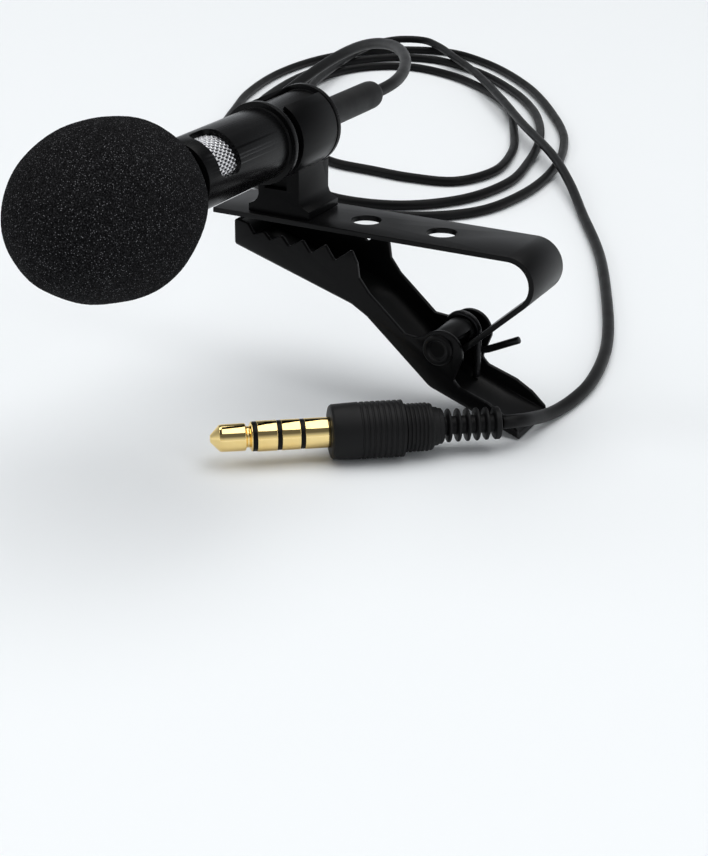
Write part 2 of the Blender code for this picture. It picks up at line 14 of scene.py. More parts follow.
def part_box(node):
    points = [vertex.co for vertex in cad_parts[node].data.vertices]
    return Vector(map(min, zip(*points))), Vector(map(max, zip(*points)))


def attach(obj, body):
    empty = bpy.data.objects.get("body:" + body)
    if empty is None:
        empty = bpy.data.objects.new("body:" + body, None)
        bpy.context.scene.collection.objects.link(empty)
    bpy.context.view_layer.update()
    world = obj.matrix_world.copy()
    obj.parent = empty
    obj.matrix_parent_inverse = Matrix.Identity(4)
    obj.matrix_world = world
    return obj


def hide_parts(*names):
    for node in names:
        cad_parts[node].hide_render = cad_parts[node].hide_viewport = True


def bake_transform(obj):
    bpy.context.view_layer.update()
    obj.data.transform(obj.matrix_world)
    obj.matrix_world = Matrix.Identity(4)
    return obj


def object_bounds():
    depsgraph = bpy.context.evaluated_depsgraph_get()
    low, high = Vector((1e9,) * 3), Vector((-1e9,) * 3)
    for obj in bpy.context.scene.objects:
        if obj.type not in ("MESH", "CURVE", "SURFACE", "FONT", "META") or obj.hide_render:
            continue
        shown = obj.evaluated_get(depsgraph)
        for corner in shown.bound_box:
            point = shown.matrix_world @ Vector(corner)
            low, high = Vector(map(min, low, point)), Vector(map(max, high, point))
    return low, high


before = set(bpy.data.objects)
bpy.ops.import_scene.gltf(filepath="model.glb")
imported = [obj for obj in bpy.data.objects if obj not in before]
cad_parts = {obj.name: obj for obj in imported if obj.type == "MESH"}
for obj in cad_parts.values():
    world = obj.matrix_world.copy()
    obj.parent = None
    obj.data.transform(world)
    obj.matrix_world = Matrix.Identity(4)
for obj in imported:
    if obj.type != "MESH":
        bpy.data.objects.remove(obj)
cad_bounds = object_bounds()

MM = 0.001
STRIP_LOW, STRIP_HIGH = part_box("clip_strip")
PLATE = Vector((STRIP_LOW[0], STRIP_LOW[1], STRIP_HIGH[2]))

# The CAD's measures, in mm and degrees: the strip and its eye
STRIP_WIDTH = 9.2
STRIP_THICKNESS = 0.65
BEND_CENTRE_X = 38.5
BEND_RADIUS = 3.075
HOLE_RADIUS = 1.8
HOLE_X = 8.7
HOLE_PITCH = 9.85
HOLE_COUNT = 3
EYE_NEAR_Y = 0.95
EYE_FAR_Y = 6.2
EYE_SHOULDER_X = 34.3
EYE_RADIUS = 1.725
EYE_END_ANGLE = 32

# The pin, the jaw and the spring
PIVOT_X = 30.5
PIVOT_Z = -12.7
PIN_RADIUS = 1.3
PIN_HEAD_RADIUS = 1.9
PIN_HEAD_THICKNESS = 0.4
SHEET = 0.6
JAW_FRONT_X = 3.05
JAW_FRONT_TOP = -0.95
JAW_SOLE = [(3.05, -4.3), (18.85, -9.2), (20.9, -10.4), (29.35, -17.7), (34.5, -19.55), (41.05, -22.05)]
LEVER_TOP = [(32.5, -16.2), (33.3, -17.0), (37.0, -18.2), (39.1, -19.4), (40.85, -20.95)]
FIRST_VALLEY_X = 5.7
TOOTH_PITCH = 2.2
TOOTH_GROWTH = 0.35
TOOTH_COUNT = 5
TOOTH_TIP = 0.62
EAR_CENTRE = (30.8, -13.1)
EAR_RADIUS = 2.75
WIRE_RADIUS = 0.45
COIL_RADIUS = 2.15
COIL_START_Y = 6.75
COIL_END_Y = 7.85
COIL_END_ANGLE = 270
JAW_ARM_DEPTH = 5.2

# The microphone, along its axis from the middle of the holder's hole
MIC_Z = 9.8
BARREL_RADIUS = 4.2
BARREL_BORE = 3.6
LIP_RADIUS = 4.85
LIP_WIDTH = 0.7
FRONT_LIP_Y = -3.7
REAR_LIP_Y = 6.75
BARREL_FRONT_Y = -21.2
BARREL_REAR_Y = 7.5
GROOVE_RADIUS = 4.13
GROOVE_Y = -3.86
WINDOW_FRONT_Y = -18.9
WINDOW_REAR_Y = -14.5
WINDOW_SPAN = 95
WINDOW_CORNER = 1.3
NECK_RADIUS = 3.5
NECK_BORE = 2.9
NECK_FRONT_Y = -32.0
NECK_REAR_Y = -20.5
SLEEVE_RADIUS = 1.78
SLEEVE_REAR_Y = 25.5
WINDSCREEN_Y = -34.1
WINDSCREEN_RADIUS = 9.4
WINDSCREEN_HALF_LENGTH = 12.3
WINDSCREEN_BORE = 3.6
WINDSCREEN_BORE_Y = -33.7

# The holder
RING_RADIUS = 4.8
RING_BORE = 4.3
RING_FRONT_Y = -1.7
RING_REAR_Y = 6.5
RING_ENDS = (62, -242)
PEDESTAL_HALF = 2.75
PEDESTAL_FRONT_Y = 0.8
PEDESTAL_REAR_Y = 8.2

# The plug, along its axis from its tip, and the cable
PLUG_TIP_X = 13.3
PLUG_TIP_Y = -23.0
PLUG_TURN = 36.9
PLUG_RADIUS = 1.75
PLUG_METAL = 13.5
BAND_BORE = 0.94
INSULATOR_STARTS = (4.75, 7.5, 10.12)
INSULATOR_WIDTH = 0.48
INSULATOR_RADIUS = 1.69
INSULATOR_BORE = 0.93
BOOT_RADIUS = 3.25
FIN_COUNT = 6
FIN_PITCH = 1.1
CABLE_RADIUS = 0.8
CABLE_STEP = 1.3


def at(x, y, z):
    """A place in plate measures, as a point in the CAD's frame."""
    return PLATE + Vector((x, y, z)) * MM


# ---------------------------------------------------------------- camera

CAMERA_PLACE = (108.1, -174.2, 61.7)
CAMERA_RIGHT = Vector((0.8887, 0.4583, 0.0141))
CAMERA_UP = Vector((-0.1974, 0.3547, 0.9139))
CAMERA_LENS = 73.6
SENSOR_HEIGHT = 36
CLIP_NEAR, CLIP_FAR = 0.01, 20

camera_data = bpy.data.cameras.new("camera")
camera_data.sensor_fit = "VERTICAL"
camera_data.sensor_height = SENSOR_HEIGHT
camera_data.lens = CAMERA_LENS
camera_data.clip_start = CLIP_NEAR
camera_data.clip_end = CLIP_FAR
camera = bpy.data.objects.new("camera", camera_data)
bpy.context.scene.collection.objects.link(camera)
bpy.context.scene.camera = camera
back = CAMERA_RIGHT.cross(CAMERA_UP).normalized()
turn = Matrix((CAMERA_RIGHT.normalized(), back.cross(CAMERA_RIGHT).normalized(), back)).transposed()
camera.matrix_world = Matrix.Translation(at(*CAMERA_PLACE)) @ turn.to_4x4()


# ---------------------------------------------------------------- materials

# Most of a noise texture's values lie between these two
NOISE_LOW, NOISE_HIGH = 0.3, 0.7
DUST_SCALE, DUST_REACH = 1700, 0.07
DUST_TONE = (0.16, 0.16, 0.17)

# Scale, reach, strength and the chance of none, for three sizes of bright speck painted into the foam's
# colour: painted glints off the cells' walls
FOAM_PAINTED_GLINTS = ((1500, 0.1, 0.6, 0.72), (2600, 0.15, 0.5, 0.45), (4300, 0.24, 0.42, 0.3))
FOAM_GLINT_TONE = (0.42, 0.42, 0.44)
# Painted glints at scales above this one are stretched a little
FINE_GLINTS = 2000


class Nodes:
    """Short calls for a material's node tree."""

    def __init__(self, name, colour, roughness, metallic=0.0):
        self.name = name
        self.material = bpy.data.materials.new(name)
        self.material.use_nodes = True
        self.tree = self.material.node_tree
        self.shader = self.tree.nodes["Principled BSDF"]
        self.shader.inputs["Base Color"].default_value = (*colour, 1)
        self.shader.inputs["Roughness"].default_value = roughness
        self.shader.inputs["Metallic"].default_value = metallic
        self.place = self.add("ShaderNodeTexCoord").outputs["Object"]

    def add(self, kind, inputs=None, **settings):
        node = self.tree.nodes.new(kind)
        for key, value in settings.items():
            setattr(node, key, value)
        for key, value in (inputs or {}).items():
            if hasattr(value, "is_output"):
                self.tree.links.new(value, node.inputs[key])
            else:
                node.inputs[key].default_value = value
        return node

    def noise(self, scale, detail=3.0, roughness=0.55, vector=None):
        inputs = {"Vector": vector or self.place, "Scale": scale, "Detail": detail, "Roughness": roughness}
        return self.add("ShaderNodeTexNoise", inputs).outputs["Fac"]

    def cells(self, scale, vector=None, output="Distance"):
        node = self.add("ShaderNodeTexVoronoi", {"Vector": vector or self.place, "Scale": scale})
        return node.outputs[output]

    def ranged(self, value, low, high, to_low, to_high):
        inputs = {0: value, 1: low, 2: high, 3: to_low, 4: to_high}
        return self.add("ShaderNodeMapRange", inputs).outputs[0]

    def spread(self, value, to_low=0.0, to_high=1.0):
        """A noise's usual values, spread from the first number to the second."""
        return self.ranged(value, NOISE_LOW, NOISE_HIGH, to_low, to_high)

    def stretched(self, scale):
        return self.add("ShaderNodeMapping", {"Vector": self.place, "Scale": scale}).outputs[0]

    def mixed(self, factor, first, second):
        node = self.add("ShaderNodeMix", {0: factor}, data_type="RGBA")
        for index, value in ((6, first), (7, second)):
            if hasattr(value, "is_output"):
                self.tree.links.new(value, node.inputs[index])
            else:
                node.inputs[index].default_value = (*value, 1)
        return node.outputs[2]

    def maths(self, operation, first, second):
        return self.add("ShaderNodeMath", {0: first, 1: second}, operation=operation).outputs[0]

    def to(self, socket, value):
        self.tree.links.new(value, self.shader.inputs[socket])

    def bump(self, height, strength, distance):
        inputs = {"Height": height, "Strength": strength, "Distance": distance}
        self.to("Normal", self.add("ShaderNodeBump", inputs).outputs[0])

    def set(self, **values):
        for key, value in values.items():
            self.shader.inputs[key.replace("_", " ")].default_value = value
        return self


def satin_black(name, base, low, high, grain, dust, gloss, streak=None, scale=300):
    """Black coating: a fine grain, roughness that drifts or runs in streaks, and a few specks of dust."""
    m = Nodes(name, base, (low + high) / 2)
    drift = m.noise(scale, 4, 0.55, m.stretched(streak) if streak else None)
    m.to("Roughness", m.spread(drift, low, high))
    specks = m.ranged(m.cells(DUST_SCALE), 0.0, DUST_REACH, dust, 0.0)
    m.to("Base Color", m.mixed(specks, base, DUST_TONE))
    m.bump(m.noise(grain, 2), 0.1, 0.00003)
    return m.set(Specular_IOR_Level=gloss)


def black_looks():
    paint = satin_black("clip_paint", (0.003, 0.003, 0.0032), 0.31, 0.35, grain=7000, dust=0.015, gloss=0.1)
    paint.set(Coat_Weight=0.03, Coat_Roughness=0.16)
    lacquer = satin_black(
        "barrel_paint",
        (0.0024, 0.0024, 0.0026),
        0.25,
        0.29,
        grain=11000,
        dust=0.01,
        gloss=0.095,
        streak=(1.0, 0.02, 1.0),
        scale=700,
    )
    lacquer.set(Coat_Weight=0.03, Coat_Roughness=0.12)
    plastic = satin_black(
        "holder_plastic",
        (0.0022, 0.0022, 0.0024),
        0.28,
        0.32,
        grain=8000,
        dust=0.012,
        gloss=0.055,
        streak=(1.0, 0.1, 1.0),
        scale=500,
    )
    rubber = satin_black("rubber", (0.0065, 0.0065, 0.0068), 0.45, 0.58, grain=12000, dust=0.03, gloss=0.16)
    sheath = satin_black(
        "cable_rubber", (0.0036, 0.0036, 0.0038), 0.38, 0.48, grain=14000, dust=0.02, gloss=0.11
    )
    bands = satin_black("insulation", (0.003, 0.003, 0.0031), 0.3, 0.4, grain=14000, dust=0.0, gloss=0.12)
    return [paint, lacquer, plastic, rubber, sheath, bands]


def foam_look():
    """Charcoal foam: pores darkened with painted shade, paler grain, and bright specks painted into its
    colour as glints where a cell's wall would face the light.
    """
    foam = Nodes("foam", (0.012, 0.012, 0.0125), 0.95)
    lumps = foam.cells(2900)
    cells = foam.cells(6400, foam.stretched((1.0, 1.1, 0.92)))
    grain = foam.noise(7600, 2, 0.7)
    broad = foam.spread(foam.noise(150, 4))
    tone = foam.mixed(broad, (0.0052, 0.0052, 0.0056), (0.0072, 0.0072, 0.0077))
    tone = foam.mixed(foam.ranged(grain, 0.46, 0.66, 0.0, 0.85), tone, (0.04, 0.04, 0.042))
    # Painted shade: the pores' cells are blended towards near black in the base colour
    tone = foam.mixed(foam.ranged(cells, 0.4, 0.7, 0.0, 0.7), tone, (0.0016, 0.0016, 0.0018))
    # Painted glints: bright specks in the base colour, the same whichever way the light falls
    for scale, reach, strength, none in FOAM_PAINTED_GLINTS:
        place = foam.stretched((1.0, 1.07, 0.95)) if scale > FINE_GLINTS else foam.place
        spot = foam.ranged(foam.cells(scale, place), reach * 0.4, reach, strength, 0.0)
        lot = foam.add("ShaderNodeSeparateColor", {"Color": foam.cells(scale, place, "Color")}).outputs[0]
        shown = foam.maths("MULTIPLY", spot, foam.maths("GREATER_THAN", lot, none))
        tone = foam.mixed(shown, tone, FOAM_GLINT_TONE)
    foam.to("Base Color", tone)
    height = foam.maths("ADD", foam.maths("MULTIPLY", lumps, 0.5), foam.maths("MULTIPLY", cells, 0.5))
    height = foam.maths("ADD", height, foam.maths("MULTIPLY", grain, 0.7))
    foam.bump(height, 0.8, 0.0002)
    return foam.set(Specular_IOR_Level=0.02)


def metal_looks():
    gold = Nodes("gold", (0.93, 0.66, 0.27), 0.14, 1.0)
    gold.to("Roughness", gold.spread(gold.noise(2600, 3, 0.6), 0.04, 0.08))
    gold.to("Base Color", gold.mixed(gold.spread(gold.noise(420)), (1.0, 0.78, 0.36), (0.96, 0.71, 0.29)))
    gold.bump(gold.noise(9000, 2), 0.06, 0.00002)

    wire = Nodes("grille_wire", (0.86, 0.86, 0.87), 0.24, 1.0)
    wire.to("Roughness", wire.spread(wire.noise(3800), 0.16, 0.36))
    wire.to("Base Color", wire.mixed(wire.spread(wire.noise(900, 2)), (0.9, 0.9, 0.91), (0.76, 0.76, 0.78)))
    wire.bump(wire.noise(7000, 2), 0.15, 0.00003)

    spring = Nodes("spring_wire", (0.02, 0.02, 0.021), 0.34, 0.7)
    spring.to("Roughness", spring.spread(spring.noise(1900), 0.24, 0.42))
    spring.to("Base Color", spring.mixed(spring.noise(700), (0.011, 0.011, 0.012), (0.026, 0.026, 0.028)))
    spring.bump(spring.noise(8000, 2), 0.15, 0.00003)

    can = Nodes("capsule_can", (0.7, 0.7, 0.71), 0.35, 1.0)
    can.to("Roughness", can.spread(can.noise(2400), 0.28, 0.45))
    can.bump(can.noise(6000, 2), 0.1, 0.00003)
    return [gold, wire, spring, can]


def other_looks():
    board = Nodes("board", (0.02, 0.12, 0.05), 0.45)
    spots = board.ranged(board.cells(1300), 0.1, 0.3, 0, 1)
    board.to("Base Color", board.mixed(spots, (0.05, 0.2, 0.09), (0.015, 0.1, 0.04)))
    board.bump(board.noise(5000, 2), 0.2, 0.00004)

    felt = Nodes("felt", (0.012, 0.012, 0.012), 1.0)
    felt.to("Base Color", felt.mixed(felt.noise(6000, 4), (0.008, 0.008, 0.008), (0.03, 0.03, 0.03)))
    felt.bump(felt.noise(5000, 4), 0.8, 0.0001)
    felt.set(Sheen_Weight=0.4)

    floor = Nodes("floor", (0.86, 0.885, 0.9), 0.6)
    floor.to("Base Color", floor.mixed(floor.noise(30), (0.862, 0.886, 0.9), (0.868, 0.891, 0.905)))
    floor.set(Specular_IOR_Level=0.1)
    return [board, felt, floor]


LOOKS = [*black_looks(), foam_look(), *metal_looks(), *other_looks()]
MATERIALS = {look.name: look.material for look in LOOKS}


# ---------------------------------------------------------------- mesh helpers


def piece(name, mesh, look, body=None, replaces=(), crease=35):
    """A finished mesh in the CAD's frame, as a piece that rides on a body."""
    obj = bpy.data.objects.new(name, mesh)
    bpy.context.scene.collection.objects.link(obj)
    mesh.materials.clear()
    mesh.materials.append(MATERIALS[look])
    for polygon in mesh.polygons:
        polygon.use_smooth = True
    mesh.set_sharp_from_angle(angle=math.radians(crease))
    if body:
        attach(obj, body)
    if replaces:
        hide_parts(*replaces)
    return obj


def mesh_from(name, points, faces):
    mesh = bpy.data.meshes.new(name)
    mesh.from_pydata([tuple(p) for p in points], [], faces)
    work = bmesh.new()
    work.from_mesh(mesh)
    bmesh.ops.remove_doubles(work, verts=work.verts, dist=1e-8)
    bmesh.ops.recalc_face_normals(work, faces=work.faces)
    work.to_mesh(mesh)
    work.free()
    return mesh


def arc(centre, radius, start, end, count):
    angles = [math.radians(start + (end - start) * i / count) for i in range(count + 1)]
    return [(centre[0] + radius * math.cos(a), centre[1] + radius * math.sin(a)) for a in angles]


# A bend below SLIGHT_BEND degrees is left as it is, and no arc takes more than CORNER_SHARE of a side
SLIGHT_BEND = 12
CORNER_SHARE = 0.42
TINY = 1e-9


def rounded(profile, radius, steps=3, closed=False):
    """The profile with its sharp corners turned into short arcs."""
    points = [Vector(p) for p in profile]
    count = len(points)
    made = []
    for index, point in enumerate(points):
        if not closed and index in (0, count - 1):
            made.append(point)
            continue
        before, after = points[index - 1] - point, points[(index + 1) % count] - point
        if before.length < TINY or after.length < TINY:
            continue
        bend = math.pi - before.angle(after)
        if bend < math.radians(SLIGHT_BEND):
            made.append(point)
            continue
        reach = min(radius * math.tan(bend / 2), before.length * CORNER_SHARE, after.length * CORNER_SHARE)
        first, last = point + before.normalized() * reach, point + after.normalized() * reach
        for step in range(steps + 1):
            t = step / steps
            made.append(first.lerp(point, t).lerp(point.lerp(last, t), t))
    return [tuple(p) for p in made]


def axes(origin, direction):
    """Origin and three directions, the last along the axis."""
    along = Vector(direction).normalized()
    side = along.cross(Vector((0, 0, 1)))
    side = side.normalized() if side.length > 0.1 else Vector((1, 0, 0))
    return origin, side, along.cross(side).normalized() * -1, along


MIC = axes(at(HOLE_X, 0, MIC_Z), (0, 1, 0))
PIVOT = axes(at(PIVOT_X, 0, PIVOT_Z), (0, 1, 0))
PLUG_HEADING = math.radians(PLUG_TURN)
PLUG_Z = (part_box("plug_boot")[0][2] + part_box("plug_boot")[1][2]) / 2 / MM - PLATE.z / MM
PLUG = axes(at(PLUG_TIP_X, PLUG_TIP_Y, PLUG_Z), (math.cos(PLUG_HEADING), math.sin(PLUG_HEADING), 0))

# The fillet of a cutter, which leaves its corners sharp
SHARP = 0.001


def circle(first, second, radius, sides):
    """Arms from a circle's centre to its points, in the plane that holds the two directions."""
    angles = [2 * math.pi * step / sides for step in range(sides)]
    return [(first * math.cos(angle) + second * math.sin(angle)) * radius for angle in angles]


def join_rings(rings, sides):
    """Faces between neighbouring rings of point numbers, where a ring may be one point repeated."""
    faces = []
    for near, far in rings:
        for step in range(sides):
            after = (step + 1) % sides
            corners = list(dict.fromkeys([near[step], near[after], far[after], far[step]]))
            if len(corners) > 2:
                faces.append(corners)
    return faces


def lathe(name, profile, frame_axes, steps=96, fillet=0.08, closed=False):
    """A profile of (radius, distance along the axis) in mm, with rounded corners, turned full circle."""
    profile = rounded(profile, fillet, 3, closed)
    origin, side, up, along = frame_axes
    points, rings = [], []
    for radius, distance in profile:
        if radius < 1e-6:
            rings.append([len(points)] * steps)
            points.append(origin + along * distance * MM)
            continue
        rings.append(range(len(points), len(points) + steps))
        points += [origin + (along * distance + arm) * MM for arm in circle(side, up, radius, steps)]
    pairs = list(zip(rings, rings[1:]))
    if closed:
        pairs.append((rings[-1], rings[0]))
    return mesh_from(name, points, join_rings(pairs, steps))


def turned(name, profile, place, steps, fillet, look, body, node, closed=False, crease=35):
    """A lathe's mesh as a piece that replaces one CAD node."""
    mesh = lathe(name, profile, place, steps, fillet, closed)
    return piece(name, mesh, look, body, [node], crease)


def prism(name, outline, near, far):
    """A flat outline of (x, z) in plate measures, as thick as the stretch of y from near to far."""
    count = len(outline)
    points = [at(x, near, z) for x, z in outline] + [at(x, far, z) for x, z in outline]
    faces = [list(range(count)), list(range(count, 2 * count))]
    faces += [[i, (i + 1) % count, (i + 1) % count + count, i + count] for i in range(count)]
    return mesh_from(name, points, faces)


def block(name, low, high):
    x0, y0, z0 = low
    x1, y1, z1 = high
    return prism(name, [(x0, z0), (x1, z0), (x1, z1), (x0, z1)], y0, y1)


# A tube's domed end: how far each ring stands out and how wide it is, in the tube's radius
DOME = [(0.18, 0.9), (0.26, 0.6), (0.28, 0.0)]


def tube_mesh(name, path, radius, sides):
    """A round tube along points in metres, with domed ends."""
    path = [Vector(p) for p in path]
    tangents = []
    for index in range(len(path)):
        step = path[min(index + 1, len(path) - 1)] - path[max(index - 1, 0)]
        tangents.append(step.normalized())
    side = tangents[0].orthogonal().normalized()
    rings = []
    for point, tangent in zip(path, tangents):
        side = (side - tangent * side.dot(tangent)).normalized()
        rings.append((point, side.copy(), tangent.cross(side).normalized(), radius))
    for end, sign in ((0, -1), (-1, 1)):
        point, a, b, r = rings[end]
        dome = [(point + tangents[end] * sign * r * out, a, b, r * share) for out, share in DOME]
        rings = dome[::-1] + rings if end == 0 else rings + dome
    points, index_rings = [], []
    for point, a, b, r in rings:
        if r == 0.0:
            index_rings.append([len(points)] * sides)
            points.append(point)
            continue
        index_rings.append(range(len(points), len(points) + sides))
        points += [point + arm for arm in circle(a, b, r, sides)]
    return mesh_from(name, points, join_rings(zip(index_rings, index_rings[1:]), sides))


def combine(mesh, cutters, bevel=0.0, segments=2, limit=30):
    """The mesh less its cutters, or joined to one given as (mesh, "UNION"), and then a bevel, all applied."""
    obj = bpy.data.objects.new("work", mesh)
    bpy.context.scene.collection.objects.link(obj)
    helpers = []
    for cutter in cutters:
        cutter, kind = cutter if isinstance(cutter, tuple) else (cutter, "DIFFERENCE")
        helper = bpy.data.objects.new("helper", cutter)
        bpy.context.scene.collection.objects.link(helper)
        helpers.append(helper)
        modifier = obj.modifiers.new("cut", "BOOLEAN")
        modifier.operation = kind
        modifier.object = helper
        modifier.solver = "EXACT"
    if bevel:
        modifier = obj.modifiers.new("edge", "BEVEL")
        modifier.width = bevel * MM
        modifier.segments = segments
        modifier.limit_method = "ANGLE"
        modifier.angle_limit = math.radians(limit)
    bpy.context.view_layer.update()
    graph = bpy.context.evaluated_depsgraph_get()
    made = bpy.data.meshes.new_from_object(obj.evaluated_get(graph))
    made.name = mesh.name
    for helper in helpers:
        bpy.data.objects.remove(helper, do_unlink=True)
    bpy.data.objects.remove(obj, do_unlink=True)
    return made


# ---------------------------------------------------------------- cable

# Height of the cable's centre where it lies on the table, and where it lies over the other turns
LAID_Z = -21.25
OVER_Z = -19.4

# The route's own points, from the sleeve to the plug's boot, in plate measures
CABLE_ROUTE = [
    # Out of the sleeve, round to the left and down to the table
    (8.7, 25.8, 9.8),
    (8.7, 28.6, 9.8),
    (8.25, 32.6, 9.8),
    (7.0, 37.4, 9.75),
    (4.9, 42.8, 9.65),
    (2.0, 48.8, 9.4),
    (-1.6, 54.8, 9.0),
    (-5.9, 60.4, 8.3),
    (-10.7, 65.2, 7.2),
    (-15.6, 69.0, 5.5),
    (-21.0, 72.0, 2.8),
    (-26.8, 74.2, -0.9),
    (-32.9, 75.8, -5.3),
    (-39.0, 77.0, -10.0),
    (-45.0, 78.8, -14.4),
    (-50.6, 82.5, -18.1),
    (-55.4, 88.8, -20.4),
    (-59.4, 97.0, LAID_Z),
    # The outer turn
    (-63.2, 106.0, LAID_Z),
    (-68.0, 118.5, LAID_Z),
    (-73.0, 132.5, LAID_Z),
    (-76.6, 152.0, LAID_Z),
    (-75.6, 169.0, LAID_Z),
    (-71.2, 179.5, LAID_Z),
    (-64.0, 187.0, LAID_Z),
    (-54.0, 189.8, LAID_Z),
    (-42.0, 183.5, LAID_Z),
    (-26.0, 167.5, LAID_Z),
    (-13.0, 148.5, LAID_Z),
    (-3.2, 130.0, LAID_Z),
    (2.8, 109.0, LAID_Z),
    (3.8, 91.0, LAID_Z),
    (1.0, 79.0, LAID_Z),
    (-6.0, 72.0, LAID_Z),
    (-17.0, 69.0, LAID_Z),
    (-30.0, 71.0, LAID_Z),
    (-42.0, 79.0, LAID_Z),
    (-52.0, 92.0, LAID_Z),
    # The second turn
    (-60.0, 108.0, LAID_Z),
    (-65.5, 122.0, LAID_Z),
    (-69.0, 136.0, LAID_Z),
    (-71.0, 152.0, LAID_Z),
    (-69.5, 167.0, LAID_Z),
    (-63.5, 177.5, LAID_Z),
    (-54.0, 181.0, LAID_Z),
    (-41.0, 175.0, LAID_Z),
    (-27.0, 162.0, LAID_Z),
    (-16.0, 147.0, LAID_Z),
    (-8.0, 130.0, LAID_Z),
    (-3.0, 112.0, LAID_Z),
    (-1.0, 97.0, LAID_Z),
    (-4.0, 84.0, LAID_Z),
    (-11.5, 76.0, LAID_Z),
    (-22.0, 74.5, LAID_Z),
    (-33.0, 80.0, LAID_Z),
    (-44.0, 91.0, LAID_Z),
    # The inner turn
    (-53.0, 106.0, LAID_Z),
    (-60.0, 122.0, LAID_Z),
    (-64.8, 140.0, LAID_Z),
    (-66.6, 156.5, LAID_Z),
    (-62.8, 167.0, LAID_Z),
    (-55.2, 171.6, LAID_Z),
    (-44.5, 168.8, LAID_Z),
    (-33.0, 160.5, LAID_Z),
    (-22.4, 148.5, LAID_Z),
    (-14.2, 132.0, LAID_Z),
    (-8.0, 116.0, LAID_Z),
    (-6.0, 102.0, LAID_Z),
    (-9.5, 93.5, LAID_Z),
    (-17.0, 92.0, LAID_Z),
    (-25.0, 92.8, LAID_Z),
    (-33.0, 94.0, LAID_Z),
    (-41.5, 100.0, LAID_Z),
    # The last part turn, which lies over the others
    (-49.0, 110.0, LAID_Z),
    (-54.6, 121.0, -20.8),
    (-58.6, 131.0, -19.9),
    (-61.8, 140.0, OVER_Z),
    (-65.4, 155.5, OVER_Z),
    (-68.2, 172.0, OVER_Z),
    (-68.4, 182.5, OVER_Z),
    (-65.8, 189.0, OVER_Z),
    (-61.0, 190.6, OVER_Z),
    (-55.6, 186.8, OVER_Z),
    (-47.0, 177.3, OVER_Z),
    (-37.0, 165.7, OVER_Z),
    (-23.5, 147.3, OVER_Z),
    (-12.0, 130.5, OVER_Z),
    (2.0, 111.0, OVER_Z),
    # Down to the table again, and back to the plug
    (9.5, 99.3, -20.2),
    (17.2, 85.5, LAID_Z),
    (26.4, 67.8, LAID_Z),
    (34.2, 49.3, LAID_Z),
    (38.6, 37.6, LAID_Z),
    (40.8, 30.4, LAID_Z),
    (42.3, 23.4, LAID_Z),
    (43.0, 17.4, LAID_Z),
    (42.9, 12.6, LAID_Z),
    (42.5, 8.6, -21.1),
    (42.1, 5.0, -20.55),
    (41.9, 2.0, -19.75),
    (41.7, -0.3, -19.1),
    (41.1, -1.8, -18.8),
    (40.2, -2.79, -18.75),
]


def smooth_route(points, step_mm):
    """Points on a centripetal Catmull-Rom curve, no further apart than the step."""
    knots = [Vector(p) for p in points]
    knots = [2 * knots[0] - knots[1], *knots, 2 * knots[-1] - knots[-2]]
    lowest = min(knot.z for knot in knots)
    dense = []
    for a, b, c, d in zip(knots, knots[1:], knots[2:], knots[3:]):
        t1 = (b - a).length ** 0.5
        t2 = t1 + (c - b).length ** 0.5
        t3 = t2 + (d - c).length ** 0.5
        count = max(4, math.ceil((c - b).length / step_mm))
        for step in range(count):
            t = t1 + (t2 - t1) * step / count
            ab = a.lerp(b, t / t1)
            bc = b.lerp(c, (t - t1) / (t2 - t1))
            cd = c.lerp(d, (t - t2) / (t3 - t2))
            abc = ab.lerp(bc, t / t2)
            bcd = bc.lerp(cd, (t - t1) / (t3 - t1))
            point = abc.lerp(bcd, (t - t1) / (t2 - t1))
            point.z = max(point.z, lowest)
            dense.append(point)
    dense.append(knots[-2])
    return dense


def make_cable():
    route = [at(*p) for p in smooth_route(CABLE_ROUTE, CABLE_STEP)]
    length = sum((b - a).length for a, b in zip(route, route[1:]))
    cable = piece("cable_tube", tube_mesh("cable_tube", route, CABLE_RADIUS * MM, 16), "cable_rubber")
    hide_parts("cable")
    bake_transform(cable)
    return cable, route, length


cable, cable_path, cable_length = make_cable()


# ---------------------------------------------------------------- plug

# Profiles are (radius, distance along the axis). The tip's waist is measured back from the first
# insulator, its nose from the plug's tip, and the boot from its own front.
TIP_WAIST = [(0, 0.02), (1.66, 0.02), (1.7, 0.06), (1.69, 0.14), (1.33, 0.33), (1.22, 0.4), (1.2, 0.48)]
TIP_WAIST += [(1.22, 0.6), (1.32, 0.7), (1.52, 0.78), (1.57, 0.87)]
TIP_NOSE = [(1.58, 3.5), (1.56, 1.3), (1.5, 1.04), (1.36, 0.9), (0.56, 0.16), (0.42, 0.04), (0.25, 0), (0, 0)]
BAND_GAP = 0.02

BOOT_NOSE = [(0, 0), (2.6, 0), (2.98, 0.1), (3.13, 0.32), (3.2, 1.6), (BOOT_RADIUS, 3.26)]
WIDE_RIB = [(3.25, 0), (3.15, 0.1), (3.15, 0.2), (3.25, 0.31), (3.26, 0.63)]
WIDE_RIBS_START, WIDE_RIB_PITCH, WIDE_RIB_COUNT = 3.3, 0.63, 8
BOOT_STEP = [(3.24, 8.25), (3.12, 8.35), (2.72, 8.37), (2.68, 8.5)]
SLIM_RIB = [(2.66, 0), (2.78, 0.09), (2.78, 0.27), (2.66, 0.36), (2.64, 0.42)]
SLIM_RIBS_START, SLIM_RIB_PITCH, SLIM_RIB_COUNT = 8.5, 0.47, 6
BOOT_COLLAR = [(2.7, 11.5), (2.62, 11.7), (2.25, 11.76), (2.2, 12.35), (2.08, 12.42), (2.04, 12.85)]
BOOT_COLLAR += [(1.9, 12.98), (1.07, 13.0)]
FIN_START = 13.43
FIN_RADIUS = 1.93
FIN_TAPER = 0.01
FIN_FOOT = 1.3
FIN_CORE = 1.05
LAST_FIN_EXTRA = 0.3


def tube_profile(radius, bore, start, end):
    return [(radius, start), (radius, end), (bore, end), (bore, start)]


